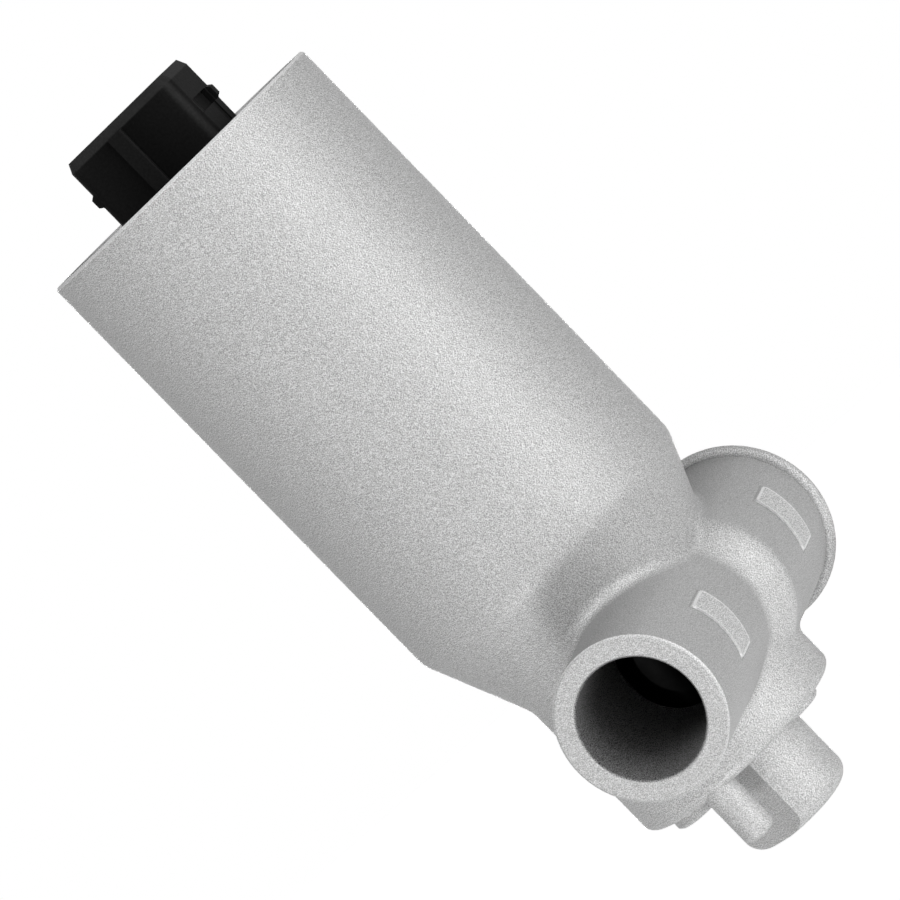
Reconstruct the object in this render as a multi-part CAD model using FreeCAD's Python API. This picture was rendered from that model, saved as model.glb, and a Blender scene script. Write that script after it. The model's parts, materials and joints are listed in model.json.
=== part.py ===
import FreeCAD, Part
import math
import os

os.makedirs("parts", exist_ok=True)

# All sizes in millimetres. +Z runs up the motor axis to the plug, nozzle 1 faces -Y and nozzle 2 faces +Y.
# Heights are worked out from the body, so the pieces inside follow it.

# Outside of the casting
BODY_R = 24.0
BODY_LENGTH = 73.8
CONE_LENGTH = 15.5
VALVE_R = 17.6
VALVE_LENGTH = 24.2
BOSS_R = 9.0
BOSS_LENGTH = 13.3
SHOULDER_ROUND = 6.0
WAIST_ROUND = 5.0
VALVE_ROUND = 1.4
BOSS_ROUND = 2.6
BOSS_ROOT = 2.0
RIM_BEVEL = 0.35
CLAMP_SHIFT = 0.4

TOP = BODY_LENGTH / 2.0 - CLAMP_SHIFT
SHOULDER = TOP - BODY_LENGTH
CONE_END = SHOULDER - CONE_LENGTH
VALVE_END = CONE_END - VALVE_LENGTH
BOSS_END = VALVE_END - BOSS_LENGTH

# Flat, pillar and ears round the bearing boss, with their bearings in degrees from -Y towards +X
BOSS_FLAT = 6.43
BOSS_FLAT_TURN = -27.6
PILLAR_R = 2.6
PILLAR_LENGTH = 8.7
PILLAR_TURN = -2.0
PILLAR_ROUND = 1.2
EAR_THICK = 2.0
EAR_BEVEL = 0.4
EAR_A_R = 4.3
EAR_A_OUT = 9.1
EAR_A_TURN = 106.2
EAR_B_R = 5.0
EAR_B_OUT = 10.1
EAR_B_TURN = -43.7

# Hose nozzles
PORT_RISE = 18.3
TUBE_A_R = 12.1
TUBE_A_X = 8.0
TUBE_A_FACE = 38.0
TUBE_A_WALL = 3.2
TUBE_B_R = 13.1
TUBE_B_X = 10.8
TUBE_B_FACE = 29.3
TUBE_B_WALL = 3.1
BORE_STOP = 4.0
STEP_START = -6.0
STEP_END = 0.4
STEP_SECTIONS = 6
FOOT_ROUND = 1.7
BEAD_RISE = 1.3
BEAD_WIDTH = 1.95
BEAD_LIP = 0.6
MOUTH_BEVEL = 0.35
PAD_WIDTH = 6.25
PAD_HALF_HEIGHT = 5.0
PAD_RAISE = 0.3
PAD_CORNER = 0.8
PAD_A_BACK = 17.0
PAD_B_BACK = 14.45
PORT_Z = VALVE_END + PORT_RISE
BORE_A_R = TUBE_A_R - TUBE_A_WALL
BORE_B_R = TUBE_B_R - TUBE_B_WALL

# Hollow of the motor can
RIM_WALL = 1.4
SEAT_STEP = 1.2
CAP_SINK = 2.4
FLANGE_THICK = 3.8
FLOOR_RISE = 11.8
FLOOR_LEDGE = 4.9
RING_THICK = 1.0
RING_WIDTH = 2.2
RING_BITE = 0.5
RING_PLAY = 0.05
RING_OPEN = 20.0
SEAT_R = BODY_R - RIM_WALL
CAVITY_R = SEAT_R - SEAT_STEP
SPRING_ROOM_R = CAVITY_R - FLOOR_LEDGE
FLANGE_TOP = TOP - CAP_SINK
SEAT_Z = FLANGE_TOP - FLANGE_THICK
FLOOR_Z = SHOULDER + FLOOR_RISE

# Valve chamber and its slide
CHAMBER_R = 11.3
SLIDE_GAP = 0.3
SLIDE_WALL = 2.0
SLIDE_WEB = 2.0
SLIDE_HALF = 11.5
SLIDE_HUB_R = 5.0
SLIDE_START = 8.3
SLIDE_SPAN = 76.0
SLIDE_NOSE_R = 7.5
SLIDE_NECK = 3.4
NECK_GAP = 1.3
SLIDE_R = CHAMBER_R - SLIDE_GAP
CHAMBER_FLOOR = PORT_Z - SLIDE_HALF - SLIDE_GAP
DIVIDER_Z = PORT_Z + SLIDE_HALF + SLIDE_NECK + NECK_GAP

# Bearings, both the same
BEARING_R = 5.5
BEARING_BORE_R = 2.5
BEARING_WIDTH = 4.0
RACE_WALL = 0.95
BALL_R = 0.8
BALL_COUNT = 7
BALL_PLAY = 0.05
CAGE_HALF = 1.2
CAGE_PLAY = 0.1
CAGE_THICK = 0.35
BEARING_LIFT = 0.2
BOSS_FLOOR = 4.8
SHAFT_ROOM = 2.9
RELIEF_R = 4.2

# Shaft
SHAFT_R = 3.0
SHAFT_TIP = 2.0
SHAFT_BEVEL = 0.3
CLIP_R = 3.4
CLIP_THICK = 0.6
CLIP_GROOVE = 0.3
CLIP_OPEN = 40.0

# Plastic cap with the plug
CAP_GAP = 0.1
HUB_R = 9.0
HUB_DROP = 5.8
SKIRT_WALL = 1.8
WASHER_THICK = 0.5
CAP_RELIEF_R = 3.6
CAP_RELIEF = 0.8
SEAL_WIDTH = 1.9
SEAL_DEPTH = 1.4
SEAL_LIP = 0.4
PLUG_X = 20.6
PLUG_Y = 11.6
PLUG_RISE = 11.25
PLUG_CORNER = 2.0
PLUG_WALL = 1.4
PLUG_FLOOR = 0.6
RIM_SIDE = 0.65
RIM_FALL = 1.4
LUG_LOW = 3.4
LUG_HIGH = 5.75
LUG_OUT = 0.6
LUG_BEVEL = 0.45
LUG_START = 3.0
LUG_END = 5.25
WINDOW_FRONT = 4.1
WINDOW_BACK = 2.5
WINDOW_DEEP = 0.8
WINDOW_RAMP = 3.0
GROOVE_FRONT = 3.6
GROOVE_BACK = 2.3
GROOVE_DEEP = 0.2
KEY_LEFT = -2.1
KEY_RIGHT = 0.5
KEY_OUT = 0.5
KEY_TOP = 9.75
FLARE = 0.6
FLARE_HIGH = 1.9

# Terminals
BLADE_THICK = 0.8
BLADE_WIDTH = 2.8
BLADE_X = 2.5
BLADE_TIP = 8.6
BLADE_NOTCH = 0.6
LEAD_Z = 1.6

# Brush gear
PLATE_THICK = 1.8
PLATE_HOLE_R = HUB_R + 0.6
PLATE_GAP = 0.1
BRUSH_WIDE = 4.0
BRUSH_HIGH = 5.0
BRUSH_LONG = 7.0
BRUSH_PLAY = 0.05
TUBE_WALL = 0.5
TUBE_BACK = 1.6
TUBE_FRONT = 2.4
LEG_BACK = 4.1
SPRING_WIRE = 0.4
SPRING_TURNS = 3
COMM_R = 6.0
COMM_COPPER = 1.2
COMM_HIGH = 7.0
COMM_TOP_GAP = 0.6
COMM_SLOT = 0.8

# Field magnets in their steel ring
YOKE_WALL = 1.5
MAGNET_THICK = 3.3
AIR_GAP = 0.5
MAGNET_SPAN = 130.0
MAGNET_OVER = 1.5
CLIP_STRIP = 0.5
CLIP_LEG = 2.6
CLIP_LEG_SPAN = 1.6
MAGNET_OUT_R = CAVITY_R - YOKE_WALL
CORE_R = MAGNET_OUT_R - MAGNET_THICK - AIR_GAP
TUBE_START = COMM_R + TUBE_FRONT
TUBE_END = MAGNET_OUT_R - TUBE_BACK
LEG_X = TUBE_START + LEG_BACK

# Armature
CORE_LIFT = 8.0
HEAD_GAP = 0.6
WEB_HALF = 4.5
SHOE_INSET = 7.1
DISC_THICK = 1.0
DISC_INSET = 0.6
COIL_INSET = 5.4
COIL_END = 4.6
COIL_GAP = 0.25
COIL_CORNER = 2.6
SHOE_HALF = CORE_R - SHOE_INSET

# Divider plate, seal, stop and return spring
DIVIDER_THICK = 3.0
SEAL_R = 6.0
SEAL_SEAT = 2.0
DIVIDER_HOLE_R = 3.6
SEAL_PLAY = 0.04
COLLAR_R = 5.2
COLLAR_LIFT = 0.3
STOP_R = 9.0
STOP_ROOT_R = 6.0
STOP_THICK = 2.0
COLLAR_HIGH = 9.4
PIN_R = 1.0
PIN_OUT = 7.6
PIN_TURN = 150.0
STOP_PLAY = 0.8
TRAVEL = 90.0
COIL_STRIP = 0.5
COIL_HIGH = 5.6
COIL_LIFT = 0.6
COIL_HALF_TURNS = 6
ANCHOR_ROOM = 5.5
CROSS_PIN_R = 0.75
COIL_PITCH = (SPRING_ROOM_R - ANCHOR_ROOM) / (COIL_HALF_TURNS - 1)


def vec(x, y, z):
    return FreeCAD.Vector(x, y, z)


def bearing_point(turn, out, z):
    """A point at a bearing in degrees from -Y towards +X."""
    angle = math.radians(turn)
    return vec(out * math.sin(angle), -out * math.cos(angle), z)


def spin(points):
    """Solid turned about Z from points (radius, height)."""
    corners = [vec(r, 0, z) for r, z in points]
    corners.append(corners[0])
    return Part.Face(Part.makePolygon(corners)).revolve(vec(0, 0, 0), vec(0, 0, 1), 360)


def post(radius, low, high, x=0.0, y=0.0):
    return Part.makeCylinder(radius, high - low, vec(x, y, low))


def ring(inner, outer, low, high):
    return post(outer, low, high).cut(post(inner, low - 1.0, high + 1.0))


def along_y(radius, x, z, start, end):
    return Part.makeCylinder(radius, end - start, vec(x, start, z), vec(0, 1, 0))


def box(x0, x1, y0, y1, z0, z1):
    return Part.makeBox(x1 - x0, y1 - y0, z1 - z0, vec(x0, y0, z0))


def wedge(radius, low, high, start, span):
    """Slice of a disc from a bearing in degrees from -Y towards +X."""
    slice_ = Part.makeCylinder(radius, high - low, vec(0, 0, low), vec(0, 0, 1), span)
    slice_.rotate(vec(0, 0, 0), vec(0, 0, 1), start - 90.0)
    return slice_


def arc_piece(inner, outer, low, high, start, span):
    return wedge(outer, low, high, start, span).cut(post(inner, low - 1.0, high + 1.0))


def round_edges(shape, radius, chosen):
    """Fillet the edges that a test picks, with a smaller radius where the full one doesn't fit."""
    edges = [edge for edge in shape.Edges if chosen(edge)]
    for size in (radius, radius * 0.7, radius * 0.4):
        if not edges:
            break
        try:
            result = shape.makeFillet(size, edges)
            if result.isValid() and result.Volume > 0:
                return result
        except Exception:
            continue
    return shape


def turned_over(shape, side):
    """Half a turn about the motor axis for the left one of a pair."""
    if side < 0:
        shape.rotate(vec(0, 0, 0), vec(0, 0, 1), 180)
    return shape


def middle(edge):
    return edge.valueAt((edge.FirstParameter + edge.LastParameter) / 2.0)


def circle_at(edge, radius, z):
    """True for an edge that is a circle about the Z axis."""
    p = middle(edge)
    spot = abs(math.hypot(p.x, p.y) - radius) < 0.02 and abs(p.z - z) < 0.02
    flat = abs(edge.valueAt(edge.FirstParameter).z - z) < 0.02
    return spot and flat and len(edge.Vertexes) <= 2


def save(name, shape):
    solids = shape.Solids
    clean = solids[0] if len(solids) == 1 else Part.makeCompound(solids)
    clean.exportStep("parts/" + name + ".step")


def body_radius(z):
    """Radius of the turned outside before its edges are rounded."""
    if z >= SHOULDER:
        return BODY_R
    if z >= CONE_END:
        return BODY_R + (VALVE_R - BODY_R) * (SHOULDER - z) / CONE_LENGTH
    return VALVE_R


def turned_body():
    body = spin([(0, TOP), (BODY_R - RIM_BEVEL, TOP), (BODY_R, TOP - RIM_BEVEL), (BODY_R, SHOULDER),
                 (VALVE_R, CONE_END), (VALVE_R, VALVE_END), (0, VALVE_END)])
    body = round_edges(body, SHOULDER_ROUND, lambda e: circle_at(e, BODY_R, SHOULDER))
    body = round_edges(body, WAIST_ROUND, lambda e: circle_at(e, VALVE_R, CONE_END))
    return round_edges(body, VALVE_ROUND, lambda e: circle_at(e, VALVE_R, VALVE_END))


def lying(shape, x):
    """Turns a shape made about Z to lie along Y at the height of the nozzles."""
    shape.rotate(vec(0, 0, 0), vec(1, 0, 0), -90)
    shape.translate(vec(x, 0, PORT_Z))
    return shape


def tube_a():
    """First nozzle, with a bevelled mouth."""
    mouth = TUBE_A_FACE - MOUTH_BEVEL
    points = [(0, -TUBE_A_FACE), (TUBE_A_R - MOUTH_BEVEL, -TUBE_A_FACE), (TUBE_A_R, -mouth),
              (TUBE_A_R, STEP_START), (0, STEP_START)]
    return lying(spin(points), TUBE_A_X)


def tube_b():
    """Second nozzle with a rolled bead at its mouth."""
    root = vec(TUBE_B_R, 0, TUBE_B_FACE - BEAD_WIDTH)
    crest = vec(TUBE_B_R + BEAD_RISE, 0, TUBE_B_FACE - BEAD_WIDTH / 2.0)
    lip = vec(TUBE_B_R + BEAD_LIP, 0, TUBE_B_FACE)
    roll = Part.Arc(root, crest, lip).toShape()
    rest = Part.makePolygon([lip, vec(0, 0, TUBE_B_FACE), vec(0, 0, STEP_END), vec(TUBE_B_R, 0, STEP_END), root])
    outline = Part.Wire([roll] + rest.Edges)
    tube = Part.Face(outline).revolve(vec(0, 0, 0), vec(0, 0, 1), 360)
    return lying(tube, TUBE_B_X)


def step_blend():
    """Flowing step from the first tube to the wider one, lofted through circles."""
    circles = []
    for i in range(STEP_SECTIONS + 1):
        part = i / STEP_SECTIONS
        rise = part * part * (3.0 - 2.0 * part)
        centre = vec(TUBE_A_X + (TUBE_B_X - TUBE_A_X) * rise, STEP_START + (STEP_END - STEP_START) * part, PORT_Z)
        circle = Part.Circle(centre, vec(0, -1, 0), TUBE_A_R + (TUBE_B_R - TUBE_A_R) * rise)
        circles.append(Part.Wire([circle.toShape()]))
    return Part.makeLoft(circles, True, False)


def on_foot(edge):
    """True for an edge where a tube leaves the turned body."""
    spots = [edge.valueAt(edge.FirstParameter + (edge.LastParameter - edge.FirstParameter) * part)
             for part in (0.2, 0.5, 0.8)]
    for p in spots:
        if p.z > SHOULDER or p.z < VALVE_END + VALVE_ROUND:
            return False
        if abs(math.hypot(p.x, p.y) - body_radius(p.z)) > 0.35:
            return False
    level = max(p.z for p in spots) - min(p.z for p in spots) < 0.05
    seam = max(abs(p.y) for p in spots) < 0.01
    return not level and not seam


def pad(x, tube_r, y_centre):
    """Raised pad on the outer side of a tube, following its curve."""
    half = PAD_WIDTH / 2.0
    shell = along_y(tube_r + PAD_RAISE, x, PORT_Z, y_centre - half, y_centre + half)
    core = along_y(tube_r - 1.0, x, PORT_Z, y_centre - half, y_centre + half)
    window = box(x, x + tube_r * 2.0, y_centre - half, y_centre + half, PORT_Z - PAD_HALF_HEIGHT,
                 PORT_Z + PAD_HALF_HEIGHT)
    window = round_edges(window, PAD_CORNER, lambda e: abs(e.valueAt(e.FirstParameter).x - e.valueAt(
        e.LastParameter).x) > 1.0)
    return shell.cut(core).common(window)


def boss():
    """Bearing boss with a flat on its side, the pillar and the two ears."""
    shape = post(BOSS_R, BOSS_END, VALVE_END + BOSS_ROOT)
    shape = round_edges(shape, BOSS_ROUND, lambda e: circle_at(e, BOSS_R, BOSS_END))
    cutter = box(BOSS_FLAT, BOSS_R * 2.0, -BOSS_R * 2.0, BOSS_R * 2.0, BOSS_END - 1.0, VALVE_END)
    cutter.rotate(vec(0, 0, 0), vec(0, 0, 1), BOSS_FLAT_TURN - 90.0)
    shape = shape.cut(cutter)
    return shape


def pillar():
    low = VALVE_END - PILLAR_LENGTH
    shape = post(PILLAR_R, low, VALVE_END + BOSS_ROOT)
    shape = round_edges(shape, PILLAR_ROUND, lambda e: circle_at(e, PILLAR_R, low))
    shape.translate(bearing_point(PILLAR_TURN, VALVE_R - PILLAR_R, 0))
    return shape


def ear(radius, out, turn):
    """Cast ear: a round end joined to the boss by straight sides."""
    low = VALVE_END - EAR_THICK
    spot = bearing_point(turn, out, 0)
    disc = post(radius, low, VALVE_END + 1.0, spot.x, spot.y)
    neck = box(-radius, radius, 0, out, low, VALVE_END + 1.0)
    neck.rotate(vec(0, 0, 0), vec(0, 0, 1), turn + 180.0)
    shape = disc.fuse(neck).removeSplitter()
    return shape.makeChamfer(EAR_BEVEL, [e for e in shape.Edges if abs(middle(e).z - low) < 0.01])


def casting_outside():
    tubes = tube_a().fuse([step_blend(), tube_b()])
    shape = round_edges(turned_body().fuse(tubes), FOOT_ROUND, on_foot)
    extras = [pad(TUBE_A_X, TUBE_A_R, PAD_A_BACK - TUBE_A_FACE), boss(), pillar(),
              pad(TUBE_B_X, TUBE_B_R, TUBE_B_FACE - PAD_B_BACK), ear(EAR_A_R, EAR_A_OUT, EAR_A_TURN),
              ear(EAR_B_R, EAR_B_OUT, EAR_B_TURN)]
    return shape.fuse(extras)


def bearing_floor():
    return BOSS_END + BOSS_FLOOR


def casting_hollow():
    """Motor hollow, spring room, slide chamber and bearing seat, all bored from the top."""
    floor = bearing_floor()
    turned = spin([(0, TOP + 1), (SEAT_R, TOP + 1), (SEAT_R, SEAT_Z), (CAVITY_R, SEAT_Z), (CAVITY_R, FLOOR_Z),
                   (SPRING_ROOM_R, FLOOR_Z), (SPRING_ROOM_R, DIVIDER_Z), (CHAMBER_R, DIVIDER_Z),
                   (CHAMBER_R, CHAMBER_FLOOR), (BEARING_R, CHAMBER_FLOOR), (BEARING_R, floor),
                   (RELIEF_R, floor), (RELIEF_R, floor - SHAFT_ROOM), (0, floor - SHAFT_ROOM)])
    low = FLANGE_TOP - RING_PLAY
    groove = post(SEAT_R + RING_BITE + RING_PLAY, low, FLANGE_TOP + RING_THICK + RING_PLAY)
    return turned.fuse(groove)


def bore(radius, x, start, end, mouth):
    """Air passage with a bevelled mouth."""
    tool = along_y(radius, x, PORT_Z, start, end)
    lip = Part.makeCone(radius + MOUTH_BEVEL, radius, MOUTH_BEVEL, vec(x, mouth, PORT_Z),
                        vec(0, 1 if mouth < 0 else -1, 0))
    return tool.fuse(lip)


def housing():
    shape = casting_outside().cut(casting_hollow())
    shape = shape.cut(bore(BORE_A_R, TUBE_A_X, -TUBE_A_FACE - 1.0, -BORE_STOP, -TUBE_A_FACE))
    return shape.cut(bore(BORE_B_R, TUBE_B_X, BORE_STOP, TUBE_B_FACE + 1.0, TUBE_B_FACE))


def plug_outline(grow, z):
    """Closed outline of the plug with rounded corners, grown evenly outwards."""
    hx = PLUG_X / 2.0 + grow
    hy = PLUG_Y / 2.0 + grow
    r = PLUG_CORNER + grow
    k = r * (1.0 - math.sqrt(0.5))
    spots = [((hx - r, -hy), (hx - k, -hy + k), (hx, -hy + r)), ((hx, hy - r), (hx - k, hy - k), (hx - r, hy)),
             ((-hx + r, hy), (-hx + k, hy - k), (-hx, hy - r)), ((-hx, -hy + r), (-hx + k, -hy + k), (-hx + r, -hy))]
    edges = []
    for i, (a, m, b) in enumerate(spots):
        edges.append(Part.Arc(vec(*a, z), vec(*m, z), vec(*b, z)).toShape())
        following = spots[(i + 1) % 4][0]
        edges.append(Part.makeLine(vec(*b, z), vec(*following, z)))
    return Part.Wire(edges)


def plug_band(steps):
    """Solid through the plug's outline at steps of (growth, height)."""
    return Part.makeLoft([plug_outline(grow, z) for grow, z in steps], True, True)


def lug(side):
    """Latch ridge round one corner of the plug, bevelled above and below."""
    z0 = TOP + LUG_LOW
    z1 = TOP + LUG_HIGH
    face = PLUG_X / 2.0
    band = plug_band([(0, z0), (LUG_OUT, z0 + LUG_BEVEL), (LUG_OUT, z1 - LUG_BEVEL), (0, z1)])
    ridge = band.common(box(face - PLUG_WALL, face + LUG_OUT, LUG_START, LUG_END, z0, z1))
    return turned_over(ridge, side)


def plug_outside():
    high = TOP + PLUG_RISE
    body = plug_band([(FLARE, FLANGE_TOP), (0, FLANGE_TOP + FLARE_HIGH), (0, high - RIM_FALL), (-RIM_SIDE, high)])
    key = box(KEY_LEFT, KEY_RIGHT, -PLUG_Y / 2.0 - KEY_OUT, 0, FLANGE_TOP, TOP + KEY_TOP)
    return body.fuse([key, lug(1), lug(-1)])


def side_windows():
    """Latch windows with a ramp, and the shallow guide grooves below them."""
    face = PLUG_X / 2.0
    corners = [vec(face + 1.0, -WINDOW_FRONT, 0), vec(face, -WINDOW_FRONT, 0),
               vec(face - WINDOW_DEEP, WINDOW_RAMP - WINDOW_FRONT, 0), vec(face - WINDOW_DEEP, WINDOW_BACK, 0),
               vec(face + 1.0, WINDOW_BACK, 0)]
    corners.append(corners[0])
    tools = []
    for side in (-1, 1):
        window = Part.Face(Part.makePolygon(corners)).extrude(vec(0, 0, LUG_HIGH - LUG_LOW))
        window.translate(vec(0, 0, TOP + LUG_LOW))
        guide = box(face - GROOVE_DEEP, face + 1.0, -GROOVE_FRONT, GROOVE_BACK, FLANGE_TOP + FLARE_HIGH,
                    TOP + LUG_LOW)
        tools.append(turned_over(window.fuse(guide), side))
    return tools


def terminal(side):
    """Bent blade: tip in the plug, lead inside the flange, leg down to the brush tube."""
    half = BLADE_WIDTH / 2.0
    lead = FLANGE_TOP - LEAD_Z
    x0 = BLADE_X - BLADE_THICK / 2.0
    leg = LEG_X - BLADE_THICK / 2.0
    blade = box(x0, x0 + BLADE_THICK, -half, half, lead, TOP + BLADE_TIP)
    tip = TOP + BLADE_TIP
    for y in (-half, half):
        blade = blade.cut(box(x0 - 1, x0 + 2, y - BLADE_NOTCH, y + BLADE_NOTCH, tip - BLADE_NOTCH, tip + 1))
    run = box(x0, leg + BLADE_THICK, -half, half, lead - BLADE_THICK, lead)
    down = box(leg, leg + BLADE_THICK, -half, half, brush_top(), lead)
    shape = blade.fuse([run, down]).removeSplitter()
    return turned_over(shape, side)


def plate_top():
    return SEAT_Z - HUB_DROP


def brush_top():
    return plate_top() - PLATE_THICK


def upper_seat():
    """Height of the upper face of the upper bearing."""
    return plate_top() + BEARING_WIDTH + BEARING_LIFT


def seal_ring():
    low = SEAT_Z + (FLANGE_THICK - SEAL_WIDTH) / 2.0
    return ring(SEAT_R - SEAL_DEPTH, SEAT_R, low, low + SEAL_WIDTH)


def cap():
    flange = post(SEAT_R - CAP_GAP, SEAT_Z, FLANGE_TOP)
    skirt_r = CAVITY_R - CAP_GAP
    hub = post(HUB_R, plate_top(), SEAT_Z)
    skirt = ring(skirt_r - SKIRT_WALL, skirt_r, plate_top(), SEAT_Z)
    shape = flange.fuse([hub, skirt, plug_outside()])
    socket = plug_band([(-PLUG_WALL, TOP + PLUG_FLOOR), (-PLUG_WALL, TOP + PLUG_RISE + 1.0)])
    seat = post(BEARING_R, plate_top() - 1.0, upper_seat() + WASHER_THICK)
    relief = post(CAP_RELIEF_R, plate_top(), upper_seat() + WASHER_THICK + CAP_RELIEF)
    shape = shape.cut([socket, seat, relief, seal_ring(), terminal(1), terminal(-1)])
    return shape.cut(side_windows())


def cap_seal():
    low = SEAT_Z + (FLANGE_THICK - SEAL_WIDTH) / 2.0
    mid = low + SEAL_WIDTH / 2.0
    inner = SEAT_R - SEAL_DEPTH
    return spin([(inner, low), (SEAT_R - SEAL_LIP, low), (SEAT_R, mid), (SEAT_R - SEAL_LIP, low + SEAL_WIDTH),
                 (inner, low + SEAL_WIDTH)])


def retaining_ring():
    """Open snap ring in the groove above the cap's flange."""
    outer = SEAT_R + RING_BITE
    shape = ring(outer - RING_WIDTH, outer, FLANGE_TOP, FLANGE_TOP + RING_THICK)
    gap = wedge(BODY_R, FLANGE_TOP - 1, FLANGE_TOP + 2, 180.0 - RING_OPEN / 2.0, RING_OPEN)
    return shape.cut(gap)


def bearing_outer(low):
    inner = BEARING_R - RACE_WALL
    shape = ring(inner, BEARING_R, low, low + BEARING_WIDTH)
    return shape.cut(race_groove(low))


def bearing_inner(low):
    shape = ring(BEARING_BORE_R, BEARING_BORE_R + RACE_WALL, low, low + BEARING_WIDTH)
    return shape.cut(race_groove(low))


def ball_circle():
    return (BEARING_R + BEARING_BORE_R) / 2.0


def octagon(radius, x, z):
    """Corners of an octagon that holds a circle of this radius."""
    out = radius / math.cos(math.pi / 8.0)
    turns = [math.pi / 8.0 + math.pi / 4.0 * i for i in range(8)]
    return [(x + out * math.cos(turn), z + out * math.sin(turn)) for turn in turns]


def race_groove(low):
    return spin(octagon(BALL_R + BALL_PLAY, ball_circle(), low + BEARING_WIDTH / 2.0))


def ball():
    """Ball turned from a half hexagon, with its axis on Z."""
    wide = BALL_R * math.sqrt(0.75)
    return spin([(0, -BALL_R), (wide, -BALL_R / 2.0), (wide, BALL_R / 2.0), (0, BALL_R)])


def bearing_balls(low):
    """Balls in the pockets of their cage."""
    mid = low + BEARING_WIDTH / 2.0
    cage = ring(ball_circle() - CAGE_THICK / 2.0, ball_circle() + CAGE_THICK / 2.0, mid - CAGE_HALF,
                mid + CAGE_HALF)
    pocket = BALL_R + CAGE_PLAY
    balls = []
    for i in range(BALL_COUNT):
        turn = 360.0 * i / BALL_COUNT
        window = box(0, 2.0 * ball_circle(), -pocket, pocket, mid - pocket, mid + pocket)
        window.rotate(vec(0, 0, 0), vec(0, 0, 1), turn - 90.0)
        cage = cage.cut(window)
        item = ball()
        item.translate(bearing_point(turn, ball_circle(), mid))
        balls.append(item)
    return Part.makeCompound([cage] + balls)


def shaft():
    """Stepped shaft with a journal for each bearing and a clip groove at its foot."""
    top = upper_seat() + WASHER_THICK + CAP_RELIEF / 2.0
    shoulder = plate_top() + BEARING_LIFT
    foot = bearing_floor() + BEARING_WIDTH
    tip = bearing_floor() - SHAFT_TIP
    groove = BEARING_BORE_R - CLIP_GROOVE
    clip_top = bearing_floor()
    clip_low = clip_top - CLIP_THICK
    bevel = SHAFT_BEVEL
    shape = spin([(0, top), (BEARING_BORE_R - bevel, top), (BEARING_BORE_R, top - bevel),
                  (BEARING_BORE_R, shoulder), (SHAFT_R, shoulder), (SHAFT_R, foot), (BEARING_BORE_R, foot),
                  (BEARING_BORE_R, clip_top), (groove, clip_top), (groove, clip_low), (BEARING_BORE_R, clip_low),
                  (BEARING_BORE_R, tip + bevel), (BEARING_BORE_R - bevel, tip), (0, tip)])
    return shape.cut(cross_pin())


def cross_pin():
    """Pin through the slide's neck and the shaft."""
    z = PORT_Z + SLIDE_HALF + SLIDE_NECK / 2.0
    return Part.makeCylinder(CROSS_PIN_R, 2.0 * SLIDE_HUB_R, vec(-SLIDE_HUB_R, 0, z), vec(1, 0, 0))


def circlip():
    top = bearing_floor()
    shape = ring(BEARING_BORE_R - CLIP_GROOVE, CLIP_R, top - CLIP_THICK, top)
    return shape.cut(wedge(CLIP_R + 1, top - 2, top + 1, 180.0 - CLIP_OPEN / 2.0, CLIP_OPEN))


def core_top():
    """Top of the stack, low enough for the coil's head to clear the commutator."""
    return commutator_top() - COMM_HIGH - HEAD_GAP - COIL_END - DISC_THICK


def core_low():
    return FLOOR_Z + CORE_LIFT


def h_section(low, high, grow):
    """Two-pole armature section: two shoes joined by a web. grow widens the web and thins the slots."""
    shape = post(CORE_R, low, high)
    for side in (-1, 1):
        x0 = side * (WEB_HALF + grow)
        x1 = side * (CORE_R + 1)
        shape = shape.cut(box(min(x0, x1), max(x0, x1), -SHOE_HALF + grow, SHOE_HALF - grow, low - 1, high + 1))
    return shape.cut(post(SHAFT_R, low - 1, high + 1))


def armature_core():
    return h_section(core_low(), core_top(), 0.0)


def winding_disc(low):
    """Insulating end plate on the stack."""
    disc = h_section(low, low + DISC_THICK, 0.0)
    return disc.common(post(CORE_R - DISC_INSET, low - 1, low + DISC_THICK + 1))


def armature_winding():
    """Coil wound round the web: two packs in the slots and two heads over the end plates."""
    low = core_low() - DISC_THICK
    high = core_top() + DISC_THICK
    wide = SHOE_HALF - COIL_GAP
    outer = CORE_R - COIL_INSET
    loop = box(-outer, outer, -wide, wide, low - COIL_END, high + COIL_END)
    loop = round_edges(loop, COIL_CORNER, lambda e: abs(e.valueAt(e.FirstParameter).y - e.valueAt(
        e.LastParameter).y) > 1.0)
    hollow = box(-WEB_HALF, WEB_HALF, -wide - 1, wide + 1, low, high)
    shape = loop.cut(hollow)
    return shape.cut(post(SHAFT_R, low - COIL_END - 1, high + COIL_END + 1))


def commutator_top():
    return brush_top() - COMM_TOP_GAP


def commutator_hub():
    high = commutator_top()
    return ring(SHAFT_R, COMM_R - COMM_COPPER, high - COMM_HIGH, high)


def commutator_segments():
    high = commutator_top()
    shape = ring(COMM_R - COMM_COPPER, COMM_R, high - COMM_HIGH, high)
    half = COMM_SLOT / 2.0
    return shape.cut(box(-half, half, -COMM_R - 1, COMM_R + 1, high - COMM_HIGH - 1, high + 1))


def brush_mid():
    return brush_top() - TUBE_WALL - BRUSH_PLAY - BRUSH_HIGH / 2.0


def brush(side):
    z = brush_mid()
    start = COMM_R + BRUSH_PLAY
    shape = box(COMM_R * 0.5, start + BRUSH_LONG, -BRUSH_WIDE / 2.0, BRUSH_WIDE / 2.0, z - BRUSH_HIGH / 2.0,
                z + BRUSH_HIGH / 2.0)
    return turned_over(shape.cut(post(start, z - BRUSH_HIGH, z + BRUSH_HIGH)), side)


def brush_tube(side):
    """Folded brass guide, closed behind the spring."""
    z = brush_mid()
    y = BRUSH_WIDE / 2.0 + BRUSH_PLAY
    h = BRUSH_HIGH / 2.0 + BRUSH_PLAY
    shape = box(TUBE_START, TUBE_END, -y - TUBE_WALL, y + TUBE_WALL, z - h - TUBE_WALL, z + h + TUBE_WALL)
    return turned_over(shape.cut(box(TUBE_START - 1, TUBE_END - TUBE_WALL, -y, y, z - h, z + h)), side)


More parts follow.
